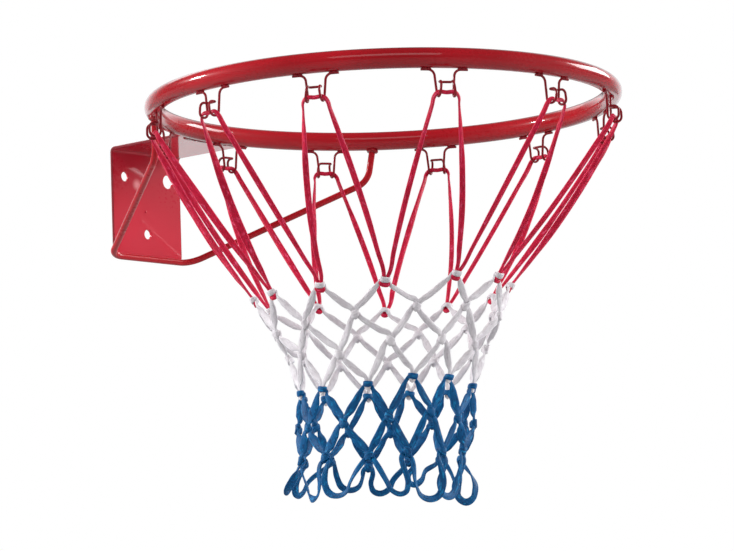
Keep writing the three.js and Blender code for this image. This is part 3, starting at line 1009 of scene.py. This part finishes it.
def hem_loop(turn):
    """The round end of an open loop, as wide as the knots that it hangs from let it be. The loop at
    the right of the view lies open to it, and those at the left hang drawn in from their knots."""
    hem_drop = 27
    narrowest, widest = 5.5, 15
    low = knot_place(6, turn)
    angle = row_angle(6, turn)
    out, onwards, up = away(angle), away(angle + 90), Vector((0, 0, 1))
    back, ahead = (
        min(widest, max(narrowest, 800 * side * (knot.at - low).dot(onwards)))
        for side, knot in ((-1, knots[5, turn]), (1, knots[5, (turn + 1) % 12]))
    )
    spin = lay.uniform(-0.6, 0.6)
    to_side = abs(out.dot(view_across))
    side_on = towards_front * (1.6 if onwards.dot(towards_front) > 0 else -1.6)
    shown = max(0.0, out.dot(view_across)) ** 12
    drawn_in = max(0.0, -out.dot(view_across)) ** 6
    along = (onwards * (1 - 0.6 * shown) + view_across * (1.4 * shown)).normalized()
    along *= 1 - 0.32 * shown - 0.4 * drawn_in
    rise = up - view_across * (drawn_in * slips_across[6][turn] / hem_drop)
    path = (
        (-back, 0.5 * back + 5),
        (-0.7 * back, 0.16 * back + 1.4),
        (0, 0),
        (0.7 * ahead, 0.16 * ahead + 1.4),
        (ahead, 0.5 * ahead + 5),
    )
    return [
        (
            low + along * (0.001 * u) + rise * (0.001 * k),
            (onwards * (0.1 * spin * u) - up * 0.25 - out + side_on * to_side**8).normalized(),
            (0.006 + 0.0026 * to_side**2) * lay.uniform(0.85, 1.12),
            0.0019,
        )
        for u, k in path
    ]


blue_braid = braid(
    "blue_cord",
    base=(0.0, 0.112, 0.31),
    light=(0.004, 0.36, 0.74),
    shadow=(0.0, 0.034, 0.12),
    lit_side_colour=(0.0, 0.13, 0.36),
    sheen=0.0,
)
blue_width = 0.0078
for name, row in (("blue_cord_top", 3), ("blue_cord_middle", 4)):
    blue_cord = net_loop(name, row, 0.72, 0.66, 1.4, blue_width)
    blue_braid.on(blue_cord)
    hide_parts("net_blue")
    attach(blue_cord, "net")

hem_stations = []
for turn in range(12):
    hem_stations += own_turn(5, turn) + hem_loop(turn)
blue_hem = lay_cord("blue_cord_hem", hem_stations)
blue_braid.on(blue_hem)
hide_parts("net_blue")
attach(blue_hem, "net")

# Studio: a grey floor well below the ring and a white backdrop. Bright fill comes from both sides,
# the paint reflects pale screens that stand beyond the ring, and soft lights hang round it.
pick_nothing()
bpy.ops.mesh.primitive_circle_add(
    vertices=96, radius=14, fill_type="NGON", location=(0, -0.3, -1.2)
)
floor = bpy.context.object
floor.name = "floor"
floor_finish = Finish("floor")
floor_place = floor_finish.put("ShaderNodeTexCoord", {}, {}, 3)
floor_drift = floor_finish.noise(floor_place, 1.5, 3.0)
floor_finish.feed(
    floor_finish.coat,
    {
        "Base Color": floor_finish.blend(floor_drift, (0.36, 0.36, 0.36, 1), (0.4, 0.4, 0.4, 1)),
        "Roughness": 0.8,
    },
)
floor_finish.on(floor)


class Sky(Finish):
    """The nodes of what surrounds the ring, put together as a finish is."""

    def __init__(self, name):
        self.world = bpy.data.worlds.new(name)
        self.world.use_nodes = True
        self.tree = self.world.node_tree

    def towards(self, place, direction):
        """How far a place lies in one direction, from -1 to 1."""
        feeds = {0: place, 1: direction}
        return self.put("ShaderNodeVectorMath", {"operation": "DOT_PRODUCT"}, feeds, "Value")

    def rise(self, value, low, high):
        """From 0 at a low value to 1 at a high one."""
        feeds = {"Value": value, "From Min": low, "From Max": high}
        return self.put("ShaderNodeMapRange", {}, feeds)

    def glow(self, colour, strength):
        """Surroundings of one colour, as bright as a shade says."""
        return self.put("ShaderNodeBackground", {}, {"Color": colour, "Strength": strength})

    def choose(self, ray, others, chosen):
        """Shows one kind of ray its own surroundings."""
        kind = self.put("ShaderNodeLightPath", {}, {}, ray)
        return self.put("ShaderNodeMixShader", {}, {0: kind, 1: others, 2: chosen})


sky = Sky("studio")
bpy.context.scene.world = sky.world
sky.tree.nodes.remove(sky.tree.nodes["Background"])
seen_place = sky.put("ShaderNodeTexCoord", {}, {}, "Generated")
aside = sky.math("ABSOLUTE", sky.towards(seen_place, view_across))
beyond = sky.towards(seen_place, -towards_front)
screens = sky.rise(aside, 0.03, 0.2) * sky.rise(beyond, 0.7, 0.95) + 0.1
room = sky.glow((0.96, 0.98, 1, 1), screens)
fill = sky.glow((0.98, 0.98, 1, 1), aside**4.0 * 4.6 + 0.36)
backdrop = sky.glow((1, 1, 1, 1), 1.0)
surroundings = sky.choose("Is Diffuse Ray", room, fill)
surroundings = sky.choose("Is Camera Ray", surroundings, backdrop)
sky.feed(sky.tree.nodes["World Output"], {"Surface": surroundings})


def soft_light(name, place, aim, width, height, power):
    """A soft box that faces a point."""
    pick_nothing()
    facing = (Vector(place) - Vector(aim)).to_track_quat("Z", "Y").to_euler()
    bpy.ops.object.light_add(type="AREA", location=place, rotation=facing)
    light = bpy.context.object
    light.name = name
    light.data.shape = "RECTANGLE"
    light.data.size = width
    light.data.size_y = height
    light.data.energy = power


soft_light("front_light", (-1.9, -2.1, 1.6), (0, -0.3, -0.1), 2.6, 1.0, 12)
soft_light("right_light", (2.5, -1.2, 1.0), (0, -0.3, 0), 1.6, 0.9, 34)
soft_light("back_left_light", (-1.4, 1.8, 1.0), (0, -0.3, 0), 0.4, 0.4, 30)
soft_light("high_back_light", (0.9, 1.9, 1.6), (0, -0.3, 0), 1.2, 0.5, 2)
soft_light("low_panel", (3.0, 2.4, -0.75), (0, -0.1, 0), 3.4, 0.8, 5.5)
